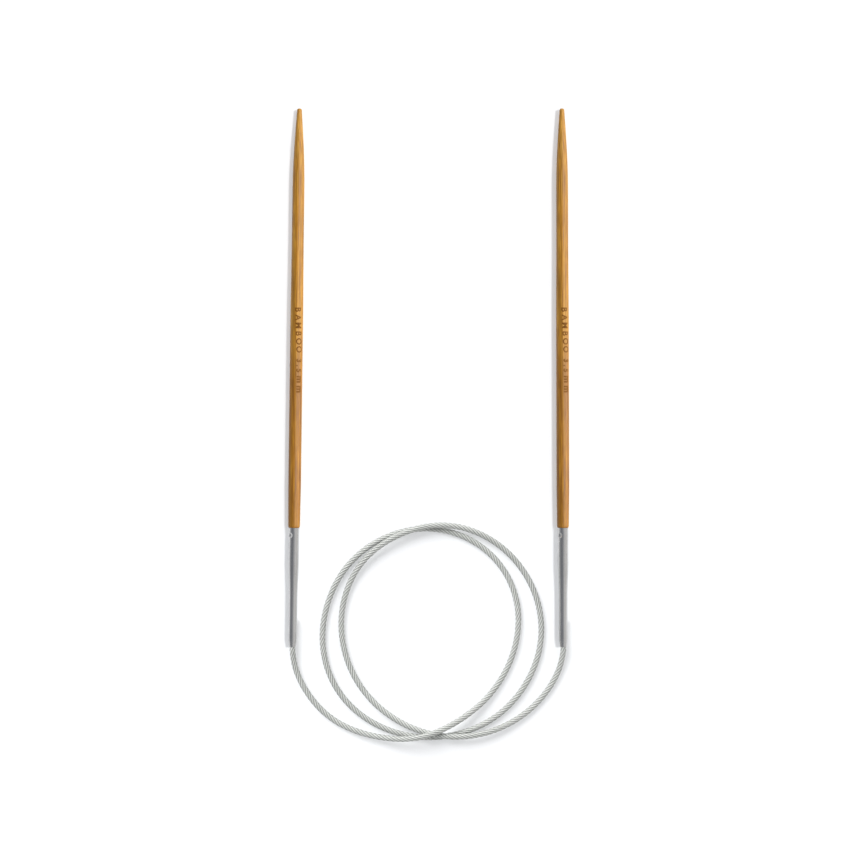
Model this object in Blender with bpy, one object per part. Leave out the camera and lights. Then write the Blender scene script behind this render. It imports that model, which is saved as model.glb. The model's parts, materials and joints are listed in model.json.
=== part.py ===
"""Circular knitting needle, 3.5 mm size, 80 cm from point to point.

Two turned bamboo needles lie side by side with their points away from the reader. Each is glued
and punched into a tapered metal ferrule. A coated steel-rope cable joins the two ferrules and
lies between and below them in two and a half loose turns. Inside each ferrule a crimped stop
holds the end of the cable, and the ferrule turns freely about it.

Frame: +X to the right needle, +Y to the points, +Z up. The origin is on the resting surface,
under the middle of the two needles.
"""

import math

import bmesh
import bpy
import numpy as np
from mathutils import Matrix, Vector

MM = 0.001

# Driving dimensions.
NEEDLE_SIZE = 3.50 * MM  # diameter behind the point, the size printed on the needle
BARREL = 3.74 * MM  # widest diameter, along the rear half of the shaft
SHAFT_LENGTH = 123.5 * MM  # bamboo that shows, from the point to the ferrule
FERRULE_LENGTH = 35.2 * MM
FERRULE_FRONT = 3.13 * MM  # diameters of the ferrule at the wood, behind its taper and at its mouth
FERRULE_REAR = 2.60 * MM
FERRULE_MOUTH = 1.96 * MM
MOUTH_SPACING = 79.8 * MM  # between the mouths of the two ferrules
MOUTH_MIDDLE = -0.25 * MM  # X of the point between them: the lean puts the shafts further right
LEFT_LEAN = math.radians(0.75)  # each needle leans a little towards the other at its point
RIGHT_LEAN = math.radians(0.15)
CABLE = 1.70 * MM  # diameter over the nylon
ROPE = 1.50 * MM  # diameter of the steel rope inside it

# Fits between neighbours.
GLUE_GAP = 0.08 * MM  # around the tenon in the ferrule
RUNNING_GAP = 0.05 * MM  # around the parts that the ferrule turns on
COAT_GAP = 0.04 * MM  # between the rope and what is round it
FACE_GAP = 0.05 * MM  # between the wood's shoulder and the ferrule's front edge

# Inside the ferrule.
WALL = 0.22 * MM  # around the cable stop
SOCKET_WALL = 0.32 * MM  # around the tenon
TENON = 12.0 * MM  # length of bamboo in the socket
NOSE = 2.5 * MM  # length of the narrow bore that the coated cable runs in
STOP_LENGTH = 5.5 * MM
STOP_GAP = 0.35 * MM  # between the coat's stripped end and the stop
ROPE_END = 0.55 * MM  # rope that shows past the stop

# The cable bends at a hinge just outside the mouth. A short stub of it stays with the ferrule.
STUB = 0.5 * MM
BEND_GAP = 0.6 * MM

SIDES = 24  # facets round a turned part
DIMPLE_SIDES = 16
HALF_FACET = math.pi / SIDES
AXIS_HEIGHT = BARREL / 2 * math.cos(HALF_FACET)  # the barrel lies on one of its facets

# Distances along a needle, from the hinge to the point.
MOUTH = BEND_GAP / 2 + STUB
FERRULE_END = MOUTH + FERRULE_LENGTH
SHOULDER = FERRULE_END + FACE_GAP
POINT = FERRULE_END + SHAFT_LENGTH
STOP_START = MOUTH + NOSE + STOP_GAP

# The cable's route over the resting surface: X and Y in millimetres, and how many cables it lies
# on there. It runs from the left mouth, over both other strands at the bottom, up the right, flat
# across the top, down the far left, flat along the bottom, up the far right, over its first turn
# at the top, down the left, and at the bottom between the other two strands to the right mouth.
ROUTE = [
    (-39.7, -84.0, 0.22),
    (-36.6, -91.7, 0.03),
    (-27.7, -101.1, 0.05),
    (-15.5, -105.6, 0.72),
    (-2.6, -105.5, 2.0),
    (9.4, -100.5, 1.15),
    (19.1, -92.1, 0.1),
    (25.1, -80.5, 0.0),
    (26.2, -67.7, 0.0),
    (21.4, -55.7, 0.0),
    (11.5, -47.4, 0.0),
    (-1.0, -44.5, 0.0),
    (-13.5, -47.4, 0.0),
    (-23.8, -55.3, 0.0),
    (-29.9, -66.8, 0.0),
    (-31.2, -79.6, 0.0),
    (-27.0, -91.9, 0.0),
    (-17.7, -101.0, 0.0),
    (-5.5, -105.6, 0.0),
    (7.4, -105.3, 0.0),
    (19.4, -100.2, 0.0),
    (28.3, -90.8, 0.0),
    (32.9, -78.6, 0.0),
    (32.0, -65.7, 0.0),
    (25.9, -54.3, 0.1),
    (15.8, -46.3, 0.6),
    (3.2, -43.4, 1.0),
    (-9.3, -46.5, 1.0),
    (-19.6, -54.4, 0.45),
    (-25.1, -66.0, 0.05),
    (-25.2, -78.9, 0.0),
    (-20.2, -90.9, 0.05),
    (-10.8, -100.0, 0.45),
    (1.1, -104.9, 0.95),
    (14.2, -105.1, 0.88),
    (26.2, -100.5, 0.2),
    (35.5, -91.5, 0.0),
    (39.0, -84.0, 0.22),
]
FLOOR_GAP = 0.06 * MM
CROSSING_GAP = 0.1 * MM
LAYER = CABLE + CROSSING_GAP  # height gained for each cable that lies underneath
CABLE_POINTS = 79
CABLE_BEVEL_STEPS = 2  # eight facets round the cable


# Materials


def material(name, color, roughness, metallic=0.0):
    mat = bpy.data.materials.new(name)
    mat.use_nodes = True
    shader = mat.node_tree.nodes["Principled BSDF"]
    shader.inputs["Base Color"].default_value = (*color, 1.0)
    shader.inputs["Roughness"].default_value = roughness
    shader.inputs["Metallic"].default_value = metallic
    mat.diffuse_color = (*color, 1.0)
    return mat


def make_materials():
    return {
        "bamboo": material("bamboo", (0.50, 0.25, 0.07), 0.35),
        "ferrule": material("ferrule_metal", (0.62, 0.61, 0.60), 0.25, 1.0),
        "stop": material("stop_metal", (0.55, 0.45, 0.25), 0.40, 1.0),
        "nylon": material("clear_nylon", (0.80, 0.83, 0.80), 0.20),
        "rope": material("steel_rope", (0.50, 0.51, 0.50), 0.35, 1.0),
    }


# Turned parts. An outline is a list of (distance along the axis, radius) in the needle's frame:
# +Y from the hinge to the point. It runs so that the solid is closed when it is spun.


def add_object(name, mesh, mat, parent):
    obj = bpy.data.objects.new(name, mesh)
    obj.data.materials.append(mat)
    obj.parent = parent
    bpy.context.collection.objects.link(obj)
    return obj


def spin(name, outline, mat, parent, closed):
    """Spin an outline about Y. A closed outline gives a ring; an open one ends on the axis."""
    bm = bmesh.new()
    start = Matrix.Rotation(HALF_FACET, 3, "Y")
    verts = [bm.verts.new(start @ Vector((0.0, y, -r))) for y, r in outline]
    chain = verts + verts[:1] if closed else verts
    edges = [bm.edges.new(pair) for pair in zip(chain, chain[1:])]
    bmesh.ops.spin(
        bm,
        geom=verts + edges,
        cent=(0.0, 0.0, 0.0),
        axis=(0.0, 1.0, 0.0),
        angle=2 * math.pi,
        steps=SIDES,
        use_merge=True,
    )
    bmesh.ops.remove_doubles(bm, verts=bm.verts, dist=1e-7)
    bmesh.ops.recalc_face_normals(bm, faces=bm.faces)
    mesh = bpy.data.meshes.new(name)
    bm.to_mesh(mesh)
    bm.free()
    mesh.shade_smooth()
    mesh.set_sharp_from_angle(angle=math.radians(30))
    return add_object(name, mesh, mat, parent)


def smooth_step(t):
    return t * t * (3 - 2 * t)


def shaft_outline():
    """The bamboo, from the tenon's end on the axis to the blunt point on the axis."""
    tenon_radius = FERRULE_FRONT / 2 - SOCKET_WALL - GLUE_GAP
    gauge = NEEDLE_SIZE / 2
    barrel = BARREL / 2
    proud = 0.04 * MM
    shoulder = FERRULE_FRONT / 2 + proud
    chamfer = 0.15 * MM
    outline = [
        (SHOULDER - TENON, 0.0),
        (SHOULDER - TENON, tenon_radius - chamfer),
        (SHOULDER - TENON + chamfer, tenon_radius),
        (SHOULDER, tenon_radius),
        (SHOULDER, shoulder),
    ]
    # The wood is rounded over at its shoulder, then swells to the barrel.
    round_over, swell = 1.2 * MM, 13.0 * MM
    for step in (1, 2, 3):
        turn = math.pi / 2 * step / 3
        along = SHOULDER + round_over * (1 - math.cos(turn))
        outline.append((along, shoulder + (gauge - shoulder) * math.sin(turn)))
    outline.append((SHOULDER + swell, barrel))
    # The barrel runs straight, then eases down to the needle's size.
    ease_start, ease_length, ease_steps = POINT - 64.0 * MM, 28.0 * MM, 4
    for step in range(ease_steps + 1):
        t = step / ease_steps
        outline.append((ease_start + t * ease_length, barrel + (gauge - barrel) * smooth_step(t)))
    # The point is a quarter sine wave that ends in a small rounded tip with a flat end.
    taper, tip_radius, tip_round, taper_steps = 24.0 * MM, 0.70 * MM, 0.50 * MM, 8
    for step in range(taper_steps):
        t = 1 - step / taper_steps
        along = POINT - tip_round - t * (taper - tip_round)
        outline.append((along, tip_radius + (gauge - tip_radius) * math.sin(math.pi / 2 * t)))
    for step in range(4):
        turn = math.pi / 2 * step / 3
        along = POINT - tip_round * (1 - math.sin(turn))
        outline.append((along, tip_radius - tip_round * (1 - math.cos(turn))))
    outline.append((POINT, 0.0))
    return outline


def ferrule_outline():
    """The metal tube: up its outside from the mouth, and back down its bore."""
    front, rear, mouth = FERRULE_FRONT / 2, FERRULE_REAR / 2, FERRULE_MOUTH / 2
    edge, cone = 0.08 * MM, 2.2 * MM
    taper_start, taper_length, taper_steps = MOUTH + 14.5 * MM, 10.5 * MM, 4
    outline = [(MOUTH, mouth - edge), (MOUTH + edge, mouth), (MOUTH + cone, rear)]
    for step in range(taper_steps + 1):
        t = step / taper_steps
        outline.append((taper_start + t * taper_length, rear + (front - rear) * smooth_step(t)))
    outline += [(FERRULE_END - edge, front), (FERRULE_END, front - edge)]
    socket, socket_depth = front - SOCKET_WALL, TENON + 0.6 * MM
    cavity = rear - WALL
    nose_bore = CABLE / 2 + RUNNING_GAP
    outline += [
        (FERRULE_END, socket),
        (SHOULDER - socket_depth, socket),
        (taper_start, cavity),
        (MOUTH + NOSE + cavity - nose_bore, cavity),
        (MOUTH + NOSE, nose_bore),
        (MOUTH, nose_bore),
    ]
    return outline


def stop_outline():
    """The sleeve crimped on the rope, with two rings pressed into it."""
    outer = FERRULE_REAR / 2 - WALL - RUNNING_GAP
    inner = ROPE / 2 + COAT_GAP
    crimp = outer - 0.12 * MM
    chamfer = 0.1 * MM
    start, end = STOP_START, STOP_START + STOP_LENGTH
    outline = [(start, inner), (start, outer - chamfer), (start + chamfer, outer)]
    for ring in (0.3, 0.7):
        centre = start + ring * STOP_LENGTH
        offsets = ((-0.5, outer), (-0.3, crimp), (0.3, crimp), (0.5, outer))
        outline += [(centre + offset * MM, radius) for offset, radius in offsets]
    outline += [(end - chamfer, outer), (end, outer - chamfer), (end, inner)]
    return outline


def end_jacket_outline():
    """The nylon on the stub and through the nose, up to where it is stripped."""
    start, end = BEND_GAP / 2, MOUTH + NOSE
    outer, inner = CABLE / 2, ROPE / 2 + COAT_GAP
    return [(start, inner), (start, outer), (end, outer), (end, inner)]


def end_rope_outline():
    """The rope on the stub, through the stop and just past it."""
    start, end = BEND_GAP / 2, STOP_START + STOP_LENGTH + ROPE_END
    return [(start, 0.0), (start, ROPE / 2), (end, ROPE / 2), (end, 0.0)]


def punch_dimple(ferrule, parent):
    """The dimple that pins the ferrule to the wood: a shallow spherical dent, up and to the left."""
    ball, depth, behind, angle = 0.5 * MM, 0.2 * MM, 2.2 * MM, math.radians(38)
    lift = FERRULE_FRONT / 2 - depth + ball
    bm = bmesh.new()
    bmesh.ops.create_uvsphere(bm, u_segments=DIMPLE_SIDES, v_segments=DIMPLE_SIDES // 2, radius=ball)
    mesh = bpy.data.meshes.new(ferrule.name + "_dimple_cutter")
    bm.to_mesh(mesh)
    bm.free()
    cutter = bpy.data.objects.new(mesh.name, mesh)
    cutter.parent = parent
    cutter.location = (-lift * math.sin(angle), FERRULE_END - behind, lift * math.cos(angle))
    cutter.hide_render = True
    cutter.display_type = "WIRE"
    bpy.context.collection.objects.link(cutter)
    cut = ferrule.modifiers.new("dimple", "BOOLEAN")
    cut.operation = "DIFFERENCE"
    cut.object = cutter


# Placing


def hinge_matrix(side, lean):
    """World frame of a needle: origin on the hinge, +Y along the needle to its point."""
    mouth_y = -(FERRULE_LENGTH + SHAFT_LENGTH) / 2
    mouth_x = MOUTH_MIDDLE + side * MOUTH_SPACING / 2
    place = Matrix.Translation((mouth_x, mouth_y, AXIS_HEIGHT))
    return place @ Matrix.Rotation(lean, 4, "Z") @ Matrix.Translation((0.0, -MOUTH, 0.0))


def empty(name, parent, matrix):
    obj = bpy.data.objects.new(name, None)
    obj.empty_display_size = 5 * MM
    obj.parent = parent
    obj.matrix_local = matrix
    bpy.context.collection.objects.link(obj)
    return obj


def make_side(name, side, lean, mats):
    swing = empty(name + "_swing_axis", None, hinge_matrix(side, lean))
    swivel = empty(name + "_swivel_axis", swing, Matrix.Identity(4))
    spin(name + "_end_jacket", end_jacket_outline(), mats["nylon"], swing, closed=True)
    spin(name + "_end_rope", end_rope_outline(), mats["rope"], swing, closed=False)
    spin(name + "_cable_stop", stop_outline(), mats["stop"], swing, closed=True)
    ferrule = spin(name + "_ferrule", ferrule_outline(), mats["ferrule"], swivel, closed=True)
    punch_dimple(ferrule, swivel)
    spin(name + "_needle", shaft_outline(), mats["bamboo"], swivel, closed=False)


# The free cable


def natural_spline(points, count):
    """Evenly spaced points on the natural cubic spline through the given ones."""
    points = np.array(points)
    knots = np.concatenate([[0.0], np.cumsum(np.linalg.norm(np.diff(points, axis=0), axis=1))])
    gaps = np.diff(knots)
    size = len(points)
    system = np.eye(size)
    target = np.zeros_like(points)
    for i in range(1, size - 1):
        system[i, i - 1 : i + 2] = gaps[i - 1], 2 * (gaps[i - 1] + gaps[i]), gaps[i]
        after = (points[i + 1] - points[i]) / gaps[i]
        before = (points[i] - points[i - 1]) / gaps[i - 1]
        target[i] = 6 * (after - before)
    bend = np.linalg.solve(system, target)

    def at(s):
        i = min(int(np.searchsorted(knots, s, side="right")) - 1, size - 2)
        h, left, right = gaps[i], s - knots[i], knots[i + 1] - s
        cubic = (bend[i] * right**3 + bend[i + 1] * left**3) / (6 * h)
        line = (points[i] / h - bend[i] * h / 6) * right
        return cubic + line + (points[i + 1] / h - bend[i + 1] * h / 6) * left

    fine = np.array([at(s) for s in np.linspace(0.0, knots[-1], 40 * size)])
    length = np.concatenate([[0.0], np.cumsum(np.linalg.norm(np.diff(fine, axis=0), axis=1))])
    even = np.linspace(0.0, length[-1], count)
    return np.stack([np.interp(even, length, fine[:, axis]) for axis in range(3)], axis=1)


def cable_path():
    """Points along the cable between the two hinges, just clear of each stub."""
    floor = CABLE / 2 + FLOOR_GAP
    middle = [(x * MM, y * MM, floor + layers * LAYER) for x, y, layers in ROUTE]
    left, right = hinge_matrix(-1, -LEFT_LEAN), hinge_matrix(1, RIGHT_LEAN)
    start = left @ Vector((0.0, -BEND_GAP / 2, 0.0))
    end = right @ Vector((0.0, -BEND_GAP / 2, 0.0))
    return natural_spline([tuple(start), *middle, tuple(end)], CABLE_POINTS)


def tube(name, path, radius, caps, mat):
    curve = bpy.data.curves.new(name, "CURVE")
    curve.dimensions = "3D"
    curve.bevel_depth = radius
    curve.bevel_resolution = CABLE_BEVEL_STEPS
    curve.use_fill_caps = caps
    line = curve.splines.new("POLY")
    line.points.add(len(path) - 1)
    for point, place in zip(line.points, path):
        point.co = (*place, 1.0)
    line.use_smooth = True
    return add_object(name, curve, mat, None)


def make_cable(mats):
    path = cable_path()
    tube("cable_rope", path, ROPE / 2, True, mats["rope"])
    jacket = tube("cable_jacket", path, CABLE / 2, False, mats["nylon"])
    wall = jacket.modifiers.new("wall", "SOLIDIFY")
    wall.thickness = (CABLE - ROPE) / 2 - COAT_GAP
    wall.offset = -1.0


def main():
    for obj in list(bpy.data.objects):
        bpy.data.objects.remove(obj)
    mats = make_materials()
    make_side("left", -1, -LEFT_LEAN, mats)
    make_side("right", 1, RIGHT_LEAN, mats)
    make_cable(mats)


main()
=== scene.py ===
"""Looks of a circular knitting needle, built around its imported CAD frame.

Two varnished bamboo needles in polished ferrules, and one cable between them: a steel rope in a
clear nylon coat. Every piece is in metres, in the frame's own coordinates: +X to the right needle,
+Y to the points, +Z up from the table. A needle's own coordinates start at its hinge, just outside
the ferrule's mouth, with +Y to its point.
"""

import json
import math
from typing import NamedTuple

import bmesh
import bpy
import numpy as np
from mathutils import Matrix, Vector


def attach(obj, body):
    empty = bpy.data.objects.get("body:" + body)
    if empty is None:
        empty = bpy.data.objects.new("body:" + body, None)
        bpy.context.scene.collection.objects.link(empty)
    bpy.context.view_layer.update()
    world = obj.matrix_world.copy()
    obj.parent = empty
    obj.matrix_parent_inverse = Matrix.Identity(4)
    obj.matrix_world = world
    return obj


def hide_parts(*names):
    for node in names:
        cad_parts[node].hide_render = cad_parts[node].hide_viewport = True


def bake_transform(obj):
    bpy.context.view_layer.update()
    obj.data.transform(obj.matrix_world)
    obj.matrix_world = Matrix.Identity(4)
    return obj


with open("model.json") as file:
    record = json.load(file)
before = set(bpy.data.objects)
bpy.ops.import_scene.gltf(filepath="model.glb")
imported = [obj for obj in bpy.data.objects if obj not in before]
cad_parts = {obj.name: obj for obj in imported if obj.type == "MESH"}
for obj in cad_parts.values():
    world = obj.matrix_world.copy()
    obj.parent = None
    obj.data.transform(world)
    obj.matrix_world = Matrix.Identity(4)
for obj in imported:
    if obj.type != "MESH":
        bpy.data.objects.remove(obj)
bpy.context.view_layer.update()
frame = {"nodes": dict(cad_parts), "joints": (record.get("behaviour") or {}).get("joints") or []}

MM = 0.001
JOINTS = {joint["name"]: joint for joint in frame["joints"]}
SIDES = ("left", "right")

# Diameters, as in the CAD.
NEEDLE_SIZE = 3.50 * MM
BARREL = 3.74 * MM
TIP = 1.40 * MM
TENON = 2.33 * MM
FERRULE_FRONT = 3.13 * MM
FERRULE_REAR = 2.60 * MM
FERRULE_MOUTH = 1.96 * MM
CABLE = 1.70 * MM

# Along the wood, from its shoulder against the ferrule.
SHOULDER_GAP = 0.05 * MM
SHOULDER_STEP = 0.04 * MM  # the shoulder stands so far proud of the ferrule
ROUND_OVER = 1.2 * MM
SWELL = 13.0 * MM  # to where the barrel has its full width
TENON_CHAMFER = 0.15 * MM

# Along the wood, back from its point.
EASE = 64.0 * MM  # to where the barrel starts to ease down to the needle's size
EASE_LENGTH = 28.0 * MM
TAPER = 24.0 * MM
TIP_ROUND = 0.50 * MM

# Along the ferrule, from its mouth.
NOSE = 2.2 * MM  # the conical nose
WIDENING = 14.5 * MM  # to where the tube starts to widen, which is also where its cavity ends
WIDENING_LENGTH = 10.5 * MM
NOSE_BORE = 2.5 * MM  # to where the cable's bore opens into the cavity
BORE_FLARE = 0.18 * MM
FERRULE_EDGE = 0.08 * MM  # rounding of both ends
SOCKET_DEPTH = 12.55 * MM  # for the tenon, from the front
SOCKET_WALL = 0.32 * MM
CAVITY_WALL = 0.22 * MM
BORE_GAP = 0.05 * MM  # round the cable

# The dimple punched in the ferrule.
DIMPLE_BACK = 2.2 * MM  # its middle, back from the front
DIMPLE_ANGLE = math.radians(-38)  # from the top, towards the left
DIMPLE_BALL = 1.3 * MM  # radius of the punch
DIMPLE_DEPTH = 0.22 * MM
DIMPLE_PULL = 0.08 * MM  # how far the metal round it is drawn in
DIMPLE_PULL_REACH = 1.5 * MM

# The cable's route: X and Y in millimetres, and how many cables it lies on there.
ROUTE = [
    (-39.7, -84.0, 0.22),
    (-36.6, -91.7, 0.03),
    (-27.7, -101.1, 0.05),
    (-15.5, -105.6, 0.72),
    (-2.6, -105.5, 2.0),
    (9.4, -100.5, 1.15),
    (19.1, -92.1, 0.1),
    (25.1, -80.5, 0.0),
    (26.2, -67.7, 0.0),
    (21.4, -55.7, 0.0),
    (11.5, -47.4, 0.0),
    (-1.0, -44.5, 0.0),
    (-13.5, -47.4, 0.0),
    (-23.8, -55.3, 0.0),
    (-29.9, -66.8, 0.0),
    (-31.2, -79.6, 0.0),
    (-27.0, -91.9, 0.0),
    (-17.7, -101.0, 0.0),
    (-5.5, -105.6, 0.0),
    (7.4, -105.3, 0.0),
    (19.4, -100.2, 0.0),
    (28.3, -90.8, 0.0),
    (32.9, -78.6, 0.0),
    (32.0, -65.7, 0.0),
    (25.9, -54.3, 0.1),
    (15.8, -46.3, 0.6),
    (3.2, -43.4, 1.0),
    (-9.3, -46.5, 1.0),
    (-19.6, -54.4, 0.45),
    (-25.1, -66.0, 0.05),
    (-25.2, -78.9, 0.0),
    (-20.2, -90.9, 0.05),
    (-10.8, -100.0, 0.45),
    (1.1, -104.9, 0.95),
    (14.2, -105.1, 0.88),
    (26.2, -100.5, 0.2),
    (35.5, -91.5, 0.0),
    (39.0, -84.0, 0.22),
]
FLOOR_GAP = 0.06 * MM
LAYER = CABLE + 0.1 * MM  # height gained for each cable that lies underneath
ROUTE_END = -0.3 * MM  # where the free route ends, along the needle from its hinge
END_STRETCH = 33.0 * MM  # of the cable outside each ferrule is a stretch of its own
JOIN = 0.01 * MM  # half the gap between two stretches
COAT_END = 3.3 * MM
ROPE_END = 9.7 * MM

# The rope in the cable.
LAY = 8.5 * MM  # its strands go round once in this length
STRANDS = 6
STRAND = 0.272 * MM  # radius of a strand: seen through the round coat, they fill its width
STRAND_CIRCLE = 2.03 * STRAND  # radius of the circle that the strands' middles lie on
WIRES = 6
WIRE_GROOVE = 0.87  # radius between two wires, of the strand's own
WIRE_LAY = 3.6 * MM
COAT_GROOVE = 0.07 * MM  # how far the coat sinks between two strands

SHARP_ANGLE = math.radians(40)  # edges sharper than this aren't smoothed


# Shapes


def needle_frame(side):
    """Matrix of a needle: origin on its hinge, +Y to its point, +Z up."""
    joint = JOINTS[side + "_swivel"]
    along = Vector(joint["axis"]).normalized()
    across = along.cross(Vector((0.0, 0.0, 1.0))).normalized()
    turn = Matrix((across, along, across.cross(along))).transposed().to_4x4()
    return Matrix.Translation(Vector(joint["pos_m"])) @ turn


def reach(node, matrix):
    """How far along the needle a CAD node starts and ends."""
    inverse = matrix.inverted()
    along = [(inverse @ vert.co).y for vert in frame["nodes"][node].data.vertices]
    return min(along), max(along)


def smooth_step(t):
    """Rises gently from 0 to 1, as t does."""
    return t * t * (3 - 2 * t)


def mesh_object(name, verts, faces, mat):
    """A smooth mesh with sharp edges kept sharp, and its faces turned outward."""
    mesh = bpy.data.meshes.new(name)
    mesh.from_pydata([tuple(v) for v in verts], [], faces)
    mesh.materials.append(mat)
    mesh.update()
    bm = bmesh.new()
    bm.from_mesh(mesh)
    bmesh.ops.recalc_face_normals(bm, faces=bm.faces)
    bm.to_mesh(mesh)
    bm.free()
    mesh.shade_smooth()
    mesh.set_sharp_from_angle(angle=SHARP_ANGLE)
    obj = bpy.data.objects.new(name, mesh)
    bpy.context.collection.objects.link(obj)
    return obj


def ring(along, radius, angles):
    """Points round a needle's axis, from its top towards +X. The radius may differ at each."""
    radius = np.broadcast_to(radius, angles.shape)
    level = np.full(angles.shape, along)
    return np.stack([radius * np.sin(angles), level, radius * np.cos(angles)], axis=1)


def grid_faces(rows, columns, closed=False):
    """Quads between rings of points. A closed grid also joins its last ring to its first."""
    faces = []
    for row in range(rows if closed else rows - 1):
        low = row * columns
        high = (row + 1) % rows * columns
        for i in range(columns):
            j = (i + 1) % columns
            faces.append((low + i, low + j, high + j, high + i))
    return faces


def tube(name, rings, mat):
    """A closed tube through rings of points, with a flat cap at each end."""
    rows, columns = rings.shape[:2]
    faces = grid_faces(rows, columns)
    last = (rows - 1) * columns
    faces.append(tuple(range(columns)))
    faces.append(tuple(last + i for i in range(columns)))
    return mesh_object(name, rings.reshape(-1, 3), faces, mat)


def lathe(name, outline, columns, matrix, mat):
    """A solid turned about a needle's axis. The outline is places along it, each with a radius."""
    angles = np.linspace(0.0, 2 * math.pi, columns, endpoint=False)
    rings = np.array([ring(along, radius, angles) for along, radius in outline])
    obj = tube(name, rings, mat)
    obj.matrix_world = matrix
    return obj


# Needles


def shaft_radius(along, shoulder, point):
    """Radius of the wood between its shoulder and its point."""
    gauge, barrel, tip = NEEDLE_SIZE / 2, BARREL / 2, TIP / 2
    lip = FERRULE_FRONT / 2 + SHOULDER_STEP
    behind, ahead = along - shoulder, point - along
    if behind < ROUND_OVER:
        return lip + (gauge - lip) * math.sqrt(1 - (1 - behind / ROUND_OVER) ** 2)
    if behind < SWELL:
        swell = (behind - ROUND_OVER) / (SWELL - ROUND_OVER)
        return gauge + (barrel - gauge) * smooth_step(swell)
    if ahead > TAPER:
        ease = min(1.0, max(0.0, (EASE - ahead) / EASE_LENGTH))
        return barrel + (gauge - barrel) * smooth_step(ease)
    if ahead > TIP_ROUND:
        t = (ahead - TIP_ROUND) / (TAPER - TIP_ROUND)
        return tip + (gauge - tip) * math.sin(math.pi / 2 * t)
    return tip - TIP_ROUND + math.sqrt(max(0.0, TIP_ROUND**2 - (TIP_ROUND - ahead) ** 2))


def make_shaft(side, mat):
    """The turned wood, from the end of its tenon to its point."""
    matrix = needle_frame(side)
    tenon_end, point = reach(side + "_needle", matrix)
    shoulder = reach(side + "_ferrule", matrix)[1] + SHOULDER_GAP
    body = list(np.linspace(shoulder, shoulder + ROUND_OVER, 9))
    body += list(np.linspace(shoulder + 2.0 * MM, point - TAPER - 0.5 * MM, 96))
    body += list(np.linspace(point - TAPER, point - TIP_ROUND, 40))
    body += [point - TIP_ROUND * (1 - math.sin(t)) for t in np.linspace(0.15, math.pi / 2, 10)]
    outline = [
        (tenon_end, TENON / 2 - TENON_CHAMFER),
        (tenon_end + TENON_CHAMFER, TENON / 2),
        (shoulder, TENON / 2),
    ]
    outline += [(along, shaft_radius(along, shoulder, point)) for along in body]
    return lathe(side + "_bamboo_shaft", outline, 64, matrix, mat)


# Ferrules


def dent_depth(distance):
    """How far the ferrule is pressed in, at a distance from the middle of its punched dimple."""
    plane = DIMPLE_BALL - DIMPLE_DEPTH
    edge = math.sqrt(DIMPLE_BALL**2 - plane**2)
    pull = DIMPLE_PULL * math.exp(-((distance / DIMPLE_PULL_REACH) ** 2))
    if distance > edge:
        return pull
    return pull + math.sqrt(DIMPLE_BALL**2 - distance**2) - plane


def ferrule_radius(behind, ahead):
    """Outer radius of the ferrule, so far from its mouth and from its front, without the dimple."""
    inset = 1 - min(behind, ahead, FERRULE_EDGE) / FERRULE_EDGE
    rounding = FERRULE_EDGE * (1 - math.sqrt(max(0.0, 1 - inset**2)))
    if behind < NOSE:
        width = FERRULE_MOUTH + (FERRULE_REAR - FERRULE_MOUTH) * behind / NOSE
    else:
        t = min(1.0, max(0.0, (behind - WIDENING) / WIDENING_LENGTH))
        width = FERRULE_REAR + (FERRULE_FRONT - FERRULE_REAR) * smooth_step(t)
    return width / 2 - rounding


def ferrule_rows(mouth, front, dimple):
    """Where the ferrule's outside has its rings, which are closest together at the dimple."""
    rows = [mouth + FERRULE_EDGE * t for t in (0.0, 0.3, 0.7, 1.0)]
    rows += list(np.linspace(mouth + 0.4 * MM, mouth + 14.0 * MM, 24))
    rows += list(np.linspace(mouth + WIDENING, mouth + WIDENING + WIDENING_LENGTH, 22))
    rows += list(np.linspace(mouth + 26.0 * MM, dimple - 1.4 * MM, 12))
    rows += list(np.linspace(dimple - 1.3 * MM, dimple + 1.3 * MM, 44))
    rows += list(np.linspace(dimple + 1.4 * MM, front - FERRULE_EDGE, 5))
    rows += [front - FERRULE_EDGE * t for t in (0.7, 0.3, 0.0)]
    return rows


def make_ferrule(side, mat):
    """The metal tube: its outside with the dimple, then its socket, cavity and bore."""
    matrix = needle_frame(side)
    mouth, front = reach(side + "_ferrule", matrix)
    dimple = front - DIMPLE_BACK
    columns = 128
    angles = np.linspace(0.0, 2 * math.pi, columns, endpoint=False)
    turns = (angles - DIMPLE_ANGLE + math.pi) % (2 * math.pi) - math.pi
    rings = []
    for along in ferrule_rows(mouth, front, dimple):
        radius = ferrule_radius(along - mouth, front - along)
        dents = [dent_depth(math.hypot(along - dimple, turn * radius)) for turn in turns]
        rings.append(ring(along, radius - np.array(dents), angles))
    socket = FERRULE_FRONT / 2 - SOCKET_WALL
    cavity = FERRULE_REAR / 2 - CAVITY_WALL
    bore = CABLE / 2 + BORE_GAP
    inside = [
        (front, socket),
        (front - SOCKET_DEPTH, socket),
        (mouth + WIDENING, cavity),
        (mouth + NOSE_BORE + BORE_FLARE, cavity),
        (mouth + NOSE_BORE, bore),
        (mouth, bore),
    ]
    rings += [ring(along, radius, angles) for along, radius in inside]
    faces = grid_faces(len(rings), columns, closed=True)
    obj = mesh_object(side + "_ferrule_tube", np.concatenate(rings), faces, mat)
    obj.matrix_world = matrix
    return obj


# Cable


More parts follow.
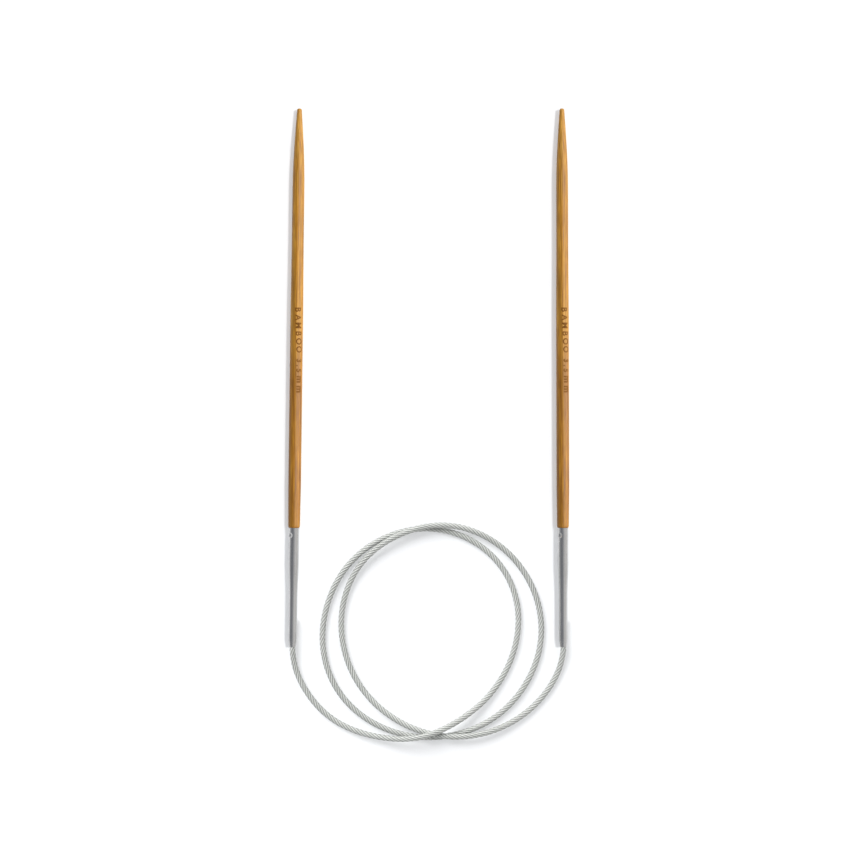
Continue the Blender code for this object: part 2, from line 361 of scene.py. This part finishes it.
def natural_spline(points, count):
    """Evenly spaced points on the natural cubic spline through the given ones."""
    points = np.array(points)
    knots = np.concatenate([[0.0], np.cumsum(np.linalg.norm(np.diff(points, axis=0), axis=1))])
    gaps = np.diff(knots)
    size = len(points)
    system = np.eye(size)
    target = np.zeros_like(points)
    for i in range(1, size - 1):
        system[i, i - 1 : i + 2] = gaps[i - 1], 2 * (gaps[i - 1] + gaps[i]), gaps[i]
        after = (points[i + 1] - points[i]) / gaps[i]
        before = (points[i] - points[i - 1]) / gaps[i - 1]
        target[i] = 6 * (after - before)
    bend = np.linalg.solve(system, target)

    def at(s):
        i = min(int(np.searchsorted(knots, s, side="right")) - 1, size - 2)
        h, left, right = gaps[i], s - knots[i], knots[i + 1] - s
        cubic = (bend[i] * right**3 + bend[i + 1] * left**3) / (6 * h)
        line = (points[i] / h - bend[i] * h / 6) * right
        return cubic + line + (points[i + 1] / h - bend[i + 1] * h / 6) * left

    fine = np.array([at(s) for s in np.linspace(0.0, knots[-1], 40 * size)])
    length = np.concatenate([[0.0], np.cumsum(np.linalg.norm(np.diff(fine, axis=0), axis=1))])
    even = np.linspace(0.0, length[-1], count)
    return np.stack([np.interp(even, length, fine[:, axis]) for axis in range(3)], axis=1)


def cable_line(inside):
    """The cable's centreline, from so far inside the left ferrule to as far inside the right."""
    floor = CABLE / 2 + FLOOR_GAP
    middle = [(x * MM, y * MM, floor + layers * LAYER) for x, y, layers in ROUTE]
    left, right = needle_frame("left"), needle_frame("right")
    start = left @ Vector((0.0, ROUTE_END, 0.0))
    end = right @ Vector((0.0, ROUTE_END, 0.0))
    free = natural_spline([tuple(start), *middle, tuple(end)], 1200)
    first = left @ Vector((0.0, inside, 0.0))
    last = right @ Vector((0.0, inside, 0.0))
    return np.vstack([[tuple(first)], free, [tuple(last)]])


def cable_stretch(part, inside, step):
    """Evenly spaced points on the left, middle or right stretch of the cable, from left to right.

    Also their distances from the cable's middle, which are below zero to its left.
    """
    points = cable_line(inside)
    length = np.concatenate([[0.0], np.cumsum(np.linalg.norm(np.diff(points, axis=0), axis=1))])
    length -= length[-1] / 2
    cut = length[-1] - inside - END_STRETCH
    start, end = {
        "left": (length[0], -cut - JOIN),
        "middle": (-cut + JOIN, cut - JOIN),
        "right": (cut + JOIN, length[-1]),
    }[part]
    even = np.linspace(start, end, int(round((end - start) / step)) + 1)
    return even, np.stack([np.interp(even, length, points[:, axis]) for axis in range(3)], axis=1)


def moving_frame(points):
    """Unit tangents, and two normals: one level and one close to upright."""
    tangent = np.gradient(points, axis=0)
    tangent /= np.linalg.norm(tangent, axis=1)[:, None]
    level = np.cross(tangent, (0.0, 0.0, 1.0))
    level /= np.linalg.norm(level, axis=1)[:, None]
    return tangent, level, np.cross(tangent, level)


def strand_rings(distance, points, number):
    """Rings of one outer strand, whose wires twist against the rope's lay. Number 0 is the core.

    Also how far each point faces outward, from 1 on the crown to -1 against the core.
    """
    tangent, level, upright = moving_frame(points)
    turn = 2 * math.pi * (distance / LAY + number / STRANDS)
    radial = np.cos(turn)[:, None] * level + np.sin(turn)[:, None] * upright
    centre = points + radial * (0.0 if number == 0 else STRAND_CIRCLE)
    tangent = np.gradient(centre, axis=0)
    tangent /= np.linalg.norm(tangent, axis=1)[:, None]
    radial -= tangent * np.sum(radial * tangent, axis=1)[:, None]
    radial /= np.linalg.norm(radial, axis=1)[:, None]
    side = np.cross(tangent, radial)
    columns = 2 * WIRES
    rings = np.zeros((len(points), columns, 3))
    outward = np.zeros((len(points), columns))
    for column in range(columns):
        angle = 2 * math.pi * (column / columns - distance / WIRE_LAY)
        outward[:, column] = np.cos(angle)
        radius = STRAND * (1.0 if column % 2 == 0 else WIRE_GROOVE)
        rings[:, column] = centre + radius * (
            np.cos(angle)[:, None] * radial + np.sin(angle)[:, None] * side
        )
    return rings, outward


def coat_rings(distance, points):
    """Rings of the nylon, which follows the strands a little."""
    tangent, level, upright = moving_frame(points)
    crown, valley, columns = CABLE / 2, CABLE / 2 - COAT_GROOVE, 4 * STRANDS
    rings = np.zeros((len(points), columns, 3))
    for column in range(columns):
        share = column / columns
        lobe = 0.5 + 0.5 * math.cos(2 * math.pi * share * STRANDS)
        angle = 2 * math.pi * (share + distance / LAY)
        radius = valley + (crown - valley) * lobe
        rings[:, column] = points + radius * (
            np.cos(angle)[:, None] * level + np.sin(angle)[:, None] * upright
        )
    return rings


def make_strands(part, mat):
    """The core and the outer strands of one stretch. Each point says how far it faces outward,
    which the steel uses to paint shade in its grooves.
    """
    distance, points = cable_stretch(part, ROPE_END, 0.25 * MM)
    strands = []
    for number in range(STRANDS + 1):
        rings, outward = strand_rings(distance, points, number)
        name = f"{part}_strand_{number}" if number else part + "_core_strand"
        strand = tube(name, rings, mat)
        facing = strand.data.attributes.new("outward", "FLOAT", "POINT")
        facing.data.foreach_set("value", outward.ravel())
        strands.append(strand)
    return strands


def attach_stretch(part, coat, strands):
    """Attach the middle stretch to the cable's body, bake the others where they lie, and hide the
    CAD pieces they stand for.
    """
    pieces = [coat, *strands]
    if part == "middle":
        for piece in pieces:
            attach(piece, "cable")
        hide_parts("cable_jacket")
        for strand in strands:
            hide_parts("cable_rope")
        return
    for piece in pieces:
        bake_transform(piece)
    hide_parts("cable_jacket", part + "_end_jacket")
    for strand in strands:
        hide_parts("cable_rope", part + "_end_rope")


def make_cable(part, mats):
    """The left, middle or right stretch of the cable: a coat over a core and six strands.

    The middle stretch lies still with the cable's body. The others are baked where they lie.
    """
    distance, path = cable_stretch(part, COAT_END, 0.4 * MM)
    coat = tube(part + "_cable_coat", coat_rings(distance, path), mats["nylon"])
    strands = make_strands(part, mats["steel"])
    attach_stretch(part, coat, strands)
    if part == "right":
        path = path[::-1]
    return [coat, *strands]


# Materials


class Nodes:
    """A short way to write a node material."""

    def __init__(self, name):
        self.material = bpy.data.materials.new(name)
        self.material.use_nodes = True
        self.tree = self.material.node_tree
        self.shader = self.tree.nodes["Principled BSDF"]

    def add(self, kind, **settings):
        node = self.tree.nodes.new("ShaderNode" + kind)
        for key, value in settings.items():
            if hasattr(node, key):
                setattr(node, key, value)
            else:
                node.inputs[key.replace("_", " ")].default_value = value
        return node

    def link(self, start, end):
        self.tree.links.new(start, end)

    def place(self, scale):
        coordinates = self.add("TexCoord")
        mapping = self.add("Mapping")
        mapping.inputs["Scale"].default_value = scale
        self.link(coordinates.outputs["Object"], mapping.inputs["Vector"])
        return mapping.outputs["Vector"]

    def noise(self, scale, detail=2.0, roughness=0.5):
        noise = self.add("TexNoise", Scale=1.0, Detail=detail, Roughness=roughness)
        self.link(self.place(scale), noise.inputs["Vector"])
        return noise.outputs["Fac"]

    def ramp(self, factor, *stops):
        ramp = self.add("ValToRGB")
        elements = ramp.color_ramp.elements
        while len(elements) < len(stops):
            elements.new(0.5)
        for element, (place, color) in zip(elements, stops):
            element.position = place
            element.color = (*color, 1.0) if isinstance(color, tuple) else (color,) * 3 + (1.0,)
        self.link(factor, ramp.inputs["Fac"])
        return ramp.outputs["Color"]

    def mix(self, factor, first, second, blend="MIX"):
        mix = self.add("Mix", data_type="RGBA", blend_type=blend)
        for socket, value in ((0, factor), (6, first), (7, second)):
            if isinstance(value, (int, float)):
                mix.inputs[socket].default_value = value
            elif isinstance(value, tuple):
                mix.inputs[socket].default_value = (*value, 1.0)
            else:
                self.link(value, mix.inputs[socket])
        return mix.outputs[2]

    def bump(self, height, strength, distance):
        bump = self.add("Bump", Strength=strength, Distance=distance)
        self.link(height, bump.inputs["Height"])
        self.link(bump.outputs["Normal"], self.shader.inputs["Normal"])

    def set(self, **values):
        for key, value in values.items():
            socket = self.shader.inputs[key.replace("_", " ")]
            if isinstance(value, tuple):
                socket.default_value = (*value, 1.0)
            elif isinstance(value, (int, float)):
                socket.default_value = value
            else:
                self.link(value, socket)
        return self.material


def bamboo():
    m = Nodes("bamboo_varnished")
    fibres = m.noise((3600.0, 70.0, 3600.0), detail=3.0)
    tone = m.noise((700.0, 30.0, 700.0), detail=2.0)
    bundles = m.noise((6500.0, 160.0, 6500.0), detail=1.0)
    mottle = m.noise((1500.0, 220.0, 1500.0), detail=3.0, roughness=0.6)
    dark, middle, light = (0.265, 0.112, 0.005), (0.42, 0.197, 0.011), (0.565, 0.305, 0.033)
    color = m.ramp(fibres, (0.32, dark), (0.52, middle), (0.72, light))
    tones = m.ramp(tone, (0.35, (0.84, 0.82, 0.74)), (0.65, (1.12, 1.08, 1.06)))
    color = m.mix(1.0, color, tones, "MULTIPLY")
    patches = m.ramp(mottle, (0.38, (0.87, 0.85, 0.82)), (0.62, (1.09, 1.09, 1.10)))
    color = m.mix(1.0, color, patches, "MULTIPLY")
    dashes = m.ramp(bundles, (0.60, 0.0), (0.70, 0.5))
    color = m.mix(dashes, color, (0.26, 0.11, 0.025))
    # The wood is darker at the ferrule and lighter at the point.
    place = m.add("SeparateXYZ")
    m.link(m.add("TexCoord").outputs["Object"], place.inputs["Vector"])
    along = m.add("MapRange", From_Min=0.036, From_Max=0.160)
    m.link(place.outputs["Y"], along.inputs["Value"])
    length_tones = m.ramp(
        along.outputs["Result"],
        (0.0, (0.76, 0.69, 0.42)),
        (0.34, (0.82, 0.74, 0.53)),
        (0.50, (1.0, 1.0, 1.0)),
        (0.75, (1.0, 0.98, 1.0)),
        (1.0, (1.14, 1.22, 2.4)),
    )
    color = m.mix(1.0, color, length_tones, "MULTIPLY")
    m.bump(fibres, 0.12, 0.05 * MM)
    rough = m.ramp(fibres, (0.3, 0.42), (0.7, 0.54))
    return m.set(Base_Color=color, Roughness=rough, IOR=1.45)


def ferrule_metal():
    m = Nodes("ferrule_polished")
    streaks = m.noise((5200.0, 60.0, 5200.0), detail=2.0)
    cloud = m.noise((300.0, 90.0, 300.0), detail=3.0)
    color = m.ramp(cloud, (0.35, (0.57, 0.567, 0.563)), (0.65, (0.63, 0.627, 0.623)))
    rough = m.ramp(streaks, (0.3, 0.20), (0.7, 0.30))
    m.bump(streaks, 0.08, 0.02 * MM)
    return m.set(Base_Color=color, Roughness=rough, Metallic=1.0)


def stop_brass():
    m = Nodes("stop_brass")
    cloud = m.noise((700.0, 700.0, 700.0), detail=2.0)
    color = m.ramp(cloud, (0.3, (0.60, 0.46, 0.22)), (0.7, (0.72, 0.57, 0.30)))
    rough = m.ramp(cloud, (0.3, 0.32), (0.7, 0.45))
    return m.set(Base_Color=color, Roughness=rough, Metallic=1.0)


def strand_steel():
    m = Nodes("strand_steel")
    cloud = m.noise((900.0, 900.0, 900.0), detail=2.0)
    crown = m.ramp(cloud, (0.3, (0.79, 0.81, 0.77)), (0.7, (0.88, 0.89, 0.86)))
    # Painted shade: where a strand faces inward, between its wires and against the other strands,
    # its colour turns groove grey. The crowns keep the steel's own colour.
    facing = m.add("Attribute", attribute_name="outward").outputs["Fac"]
    crown_over_painted_groove_shade = m.ramp(facing, (0.45, 0.0), (0.90, 1.0))
    color = m.mix(crown_over_painted_groove_shade, (0.42, 0.43, 0.41), crown)
    rough = m.ramp(cloud, (0.3, 0.42), (0.7, 0.55))
    return m.set(Base_Color=color, Roughness=rough, Metallic=0.1, Specular_IOR_Level=0.25)


def clear_nylon():
    """Nearly clear, but denser at its edges, where one looks along it, and dark grey there, which
    is painted shade on the cable's sides.
    """
    m = Nodes("clear_nylon")
    cloud = m.noise((260.0, 260.0, 260.0), detail=2.0)
    color = m.ramp(cloud, (0.3, (0.66, 0.69, 0.66)), (0.7, (0.76, 0.78, 0.76)))
    facing = m.add("LayerWeight", Blend=0.5).outputs["Facing"]
    # Painted shade: the colour turns dark grey towards the edges. The rise in alpha there is the
    # coat's own density, seen along it.
    color = m.mix(m.ramp(facing, (0.25, 0.0), (0.70, 1.0)), color, (0.24, 0.25, 0.235))
    alpha = m.ramp(facing, (0.25, 0.12), (0.70, 0.72))
    rough = m.ramp(cloud, (0.3, 0.22), (0.7, 0.34))
    return m.set(Base_Color=color, Roughness=rough, Alpha=alpha, IOR=1.53)


def burnt_wood():
    m = Nodes("burnt_mark")
    char = m.noise((5000.0, 5000.0, 5000.0), detail=3.0)
    color = m.ramp(char, (0.35, (0.13, 0.045, 0.005)), (0.65, (0.23, 0.095, 0.012)))
    rough = m.ramp(char, (0.3, 0.5), (0.7, 0.7))
    return m.set(Base_Color=color, Roughness=rough, Specular_IOR_Level=0.1)


def table_top():
    m = Nodes("table_top")
    cloud = m.noise((3.0, 3.0, 3.0), detail=1.0)
    color = m.ramp(cloud, (0.3, (0.677, 0.684, 0.694)), (0.7, (0.687, 0.694, 0.704)))
    return m.set(Base_Color=color, Roughness=0.9)


# Size marks


class MarkRow(NamedTuple):
    word: str
    start: float  # from the point to the first letter, in millimetres
    pitch: float  # from letter to letter, in millimetres
    size: float  # the em, in millimetres
    middle: float  # height of the letters' middle, in ems
    bold: float  # how much bolder than the plain font
    leaning: tuple  # how far round the shaft the first and last letters are, in degrees


CAPITALS_MIDDLE, SMALL_LETTERS_MIDDLE = 0.365, 0.26
MARK_ROWS = (
    MarkRow("BAMBOO", 59.3, 2.34, 2.46, CAPITALS_MIDDLE, 0.025, (17, 32)),
    MarkRow("3.5", 74.3, 1.46, 2.25, CAPITALS_MIDDLE, 0.035, (33, 33)),
    MarkRow("mm", 79.8, 2.90, 2.70, SMALL_LETTERS_MIDDLE, 0.040, (33, 33)),
)
MARK_LIFT = 0.012 * MM  # the marks stand so far proud of the barrel
MARK_ROOT = -0.04 * MM  # and reach so far into it


def make_marks(side, mat):
    """Burnt marks on the shaft, read from the point towards the ferrule: the wood and the size."""
    matrix = needle_frame(side)
    point = reach(side + "_needle", matrix)[1]
    verts, faces = [], []
    for row in MARK_ROWS:
        first, last = row.leaning
        for number, letter in enumerate(row.word):
            place = point - (row.start + number * row.pitch) * MM
            share = number / (len(row.word) - 1)
            turn = math.radians(first + (last - first) * share)
            flat = letter_mesh(letter, row.bold)
            wrap_letter(verts, faces, flat, place, row.size * MM, row.middle, turn)
    obj = mesh_object(side + "_size_marks", verts, faces, mat)
    obj.matrix_world = matrix
    return obj


def letter_mesh(letter, bold):
    """A flat letter of the plain font, with an em of one unit and its middle at X = 0."""
    text = bpy.data.curves.new("letter", "FONT")
    text.body = letter
    text.align_x = "CENTER"
    text.resolution_u = 4
    text.offset = bold
    holder = bpy.data.objects.new("letter", text)
    bpy.context.collection.objects.link(holder)
    bpy.context.view_layer.update()
    scene_now = bpy.context.evaluated_depsgraph_get()
    flat = bpy.data.meshes.new_from_object(holder.evaluated_get(scene_now))
    bpy.data.objects.remove(holder)
    return flat


def wrap_letter(verts, faces, flat, place, size, middle, leaning):
    """Wrap a letter round the shaft, as a thin layer that stands just proud of the wood."""
    radius = BARREL / 2
    bm = bmesh.new()
    bm.from_mesh(flat)
    bpy.data.meshes.remove(flat)
    lowest, highest = -0.1, 0.9  # of any letter, in ems
    for cut in np.linspace(lowest, highest, 21):
        bmesh.ops.bisect_plane(
            bm,
            geom=bm.verts[:] + bm.edges[:] + bm.faces[:],
            plane_co=(0.0, float(cut), 0.0),
            plane_no=(0.0, 1.0, 0.0),
        )
    bm.verts.index_update()
    base = len(verts)
    count = len(bm.verts)
    for lift in (MARK_LIFT, MARK_ROOT):
        for vert in bm.verts:
            angle = leaning + (vert.co.y - middle) * size / radius
            r = radius + lift
            verts.append((r * math.sin(angle), place - vert.co.x * size, r * math.cos(angle)))
    for face in bm.faces:
        loop = [vert.index for vert in face.verts]
        faces.append(tuple(base + i for i in loop))
        faces.append(tuple(base + count + i for i in reversed(loop)))
    for edge in bm.edges:
        if len(edge.link_faces) == 1:
            i, j = (vert.index for vert in edge.verts)
            faces.append((base + i, base + j, base + count + j, base + count + i))
    bm.free()


# Stage


def make_camera():
    """Straight above the object, with +Y up in the picture."""
    data = bpy.data.cameras.new("camera")
    data.lens, data.sensor_width = 90.0, 36.0
    camera = bpy.data.objects.new("camera", data)
    camera.location = (-1.1 * MM, -13.9 * MM, 628.0 * MM)
    data.clip_start, data.clip_end = 0.01, 10.0
    bpy.context.collection.objects.link(camera)
    bpy.context.scene.camera = camera


def make_floor(mat):
    """The floor, just under the round barrels, which reach below the CAD's faceted ones."""
    half, level = 3.0, -0.02 * MM
    corners = ((-half, -half), (half, -half), (half, half), (-half, half))
    verts = [(x, y, level) for x, y in corners]
    floor = mesh_object("floor", verts, [(0, 1, 2, 3)], mat)
    return floor


def sun(name, toward, strength, angle):
    """A soft distant light. toward points from the object to the light."""
    data = bpy.data.lights.new(name, "SUN")
    data.energy, data.angle = strength, math.radians(angle)
    light = bpy.data.objects.new(name, data)
    light.rotation_mode = "QUATERNION"
    light.rotation_quaternion = Vector(toward).to_track_quat("Z", "Y")
    bpy.context.collection.objects.link(light)
    return light


def only(name, pieces):
    """A collection for a light's linking. It isn't part of the scene."""
    group = bpy.data.collections.new(name)
    for piece in pieces:
        group.objects.link(piece)
    return group


def make_lights(shafts, ferrules, cables, floor):
    """Two lights from the right model the wood, and one from the top left models the cable.

    The ferrules mirror the world only. They throw a shadow as the wood does.
    """
    high, low = math.radians(62), math.radians(18)
    right = sun("key_right", (math.cos(high), 0.08, math.sin(high)), 1.73, 8)
    right.light_linking.receiver_collection = only("lit_by_right", shafts + [floor])
    right.light_linking.blocker_collection = only("shades_right", shafts + ferrules)
    side = sun("side_right", (math.cos(low), 0.0, math.sin(low)), 1.5, 20)
    side.light_linking.receiver_collection = only("lit_by_side", shafts)
    side.light_linking.blocker_collection = only("shades_side", shafts)
    top = sun("key_top", (-0.45, 0.58, 0.68), 2.45, 32)
    top.light_linking.receiver_collection = only("lit_by_top", cables + [floor])
    top.light_linking.blocker_collection = only("shades_top", cables)


def make_world():
    """A pale studio with a darker patch overhead to the left, which the metal mirrors."""
    world = bpy.data.worlds.new("studio")
    world.use_nodes = True
    bpy.context.scene.world = world
    nodes, links = world.node_tree.nodes, world.node_tree.links
    coordinates = nodes.new("ShaderNodeTexCoord")
    toward = nodes.new("ShaderNodeVectorMath")
    toward.operation = "DOT_PRODUCT"
    tilt = math.radians(35)
    toward.inputs[1].default_value = (-math.sin(tilt), 0.0, math.cos(tilt))
    ramp = nodes.new("ShaderNodeValToRGB")
    stops = (
        (0.0, (0.75, 0.74, 0.73)),
        (0.30, (0.76, 0.75, 0.74)),
        (0.63, (0.55, 0.555, 0.565)),
        (0.80, (0.40, 0.408, 0.425)),
        (0.90, (0.29, 0.30, 0.32)),
        (1.0, (0.215, 0.225, 0.25)),
    )
    while len(ramp.color_ramp.elements) < len(stops):
        ramp.color_ramp.elements.new(0.5)
    for element, (place, color) in zip(ramp.color_ramp.elements, stops):
        element.position, element.color = place, (*color, 1.0)
    links.new(coordinates.outputs["Generated"], toward.inputs[0])
    links.new(toward.outputs["Value"], ramp.inputs["Fac"])
    links.new(ramp.outputs["Color"], nodes["Background"].inputs["Color"])
    bpy.context.scene.view_settings.view_transform = "Standard"


def main():
    make_camera()
    floor = make_floor(table_top())
    make_world()
    shafts, ferrules, cables = [], [], []
    mats = {"nylon": clear_nylon(), "steel": strand_steel()}
    wood, metal, mark, brass = bamboo(), ferrule_metal(), burnt_wood(), stop_brass()
    for part in ("left", "middle", "right"):
        cables += make_cable(part, mats)
    for side in SIDES:
        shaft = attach(make_shaft(side, wood), side + "_hand")
        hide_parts(side + "_needle")
        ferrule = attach(make_ferrule(side, metal), side + "_hand")
        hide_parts(side + "_ferrule")
        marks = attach(make_marks(side, mark), side + "_hand")
        stop = frame["nodes"][side + "_cable_stop"]
        for place in stop.material_slots:
            place.material = brass
        shafts += [shaft, marks]
        ferrules.append(ferrule)
    make_lights(shafts, ferrules, cables, floor)


main()
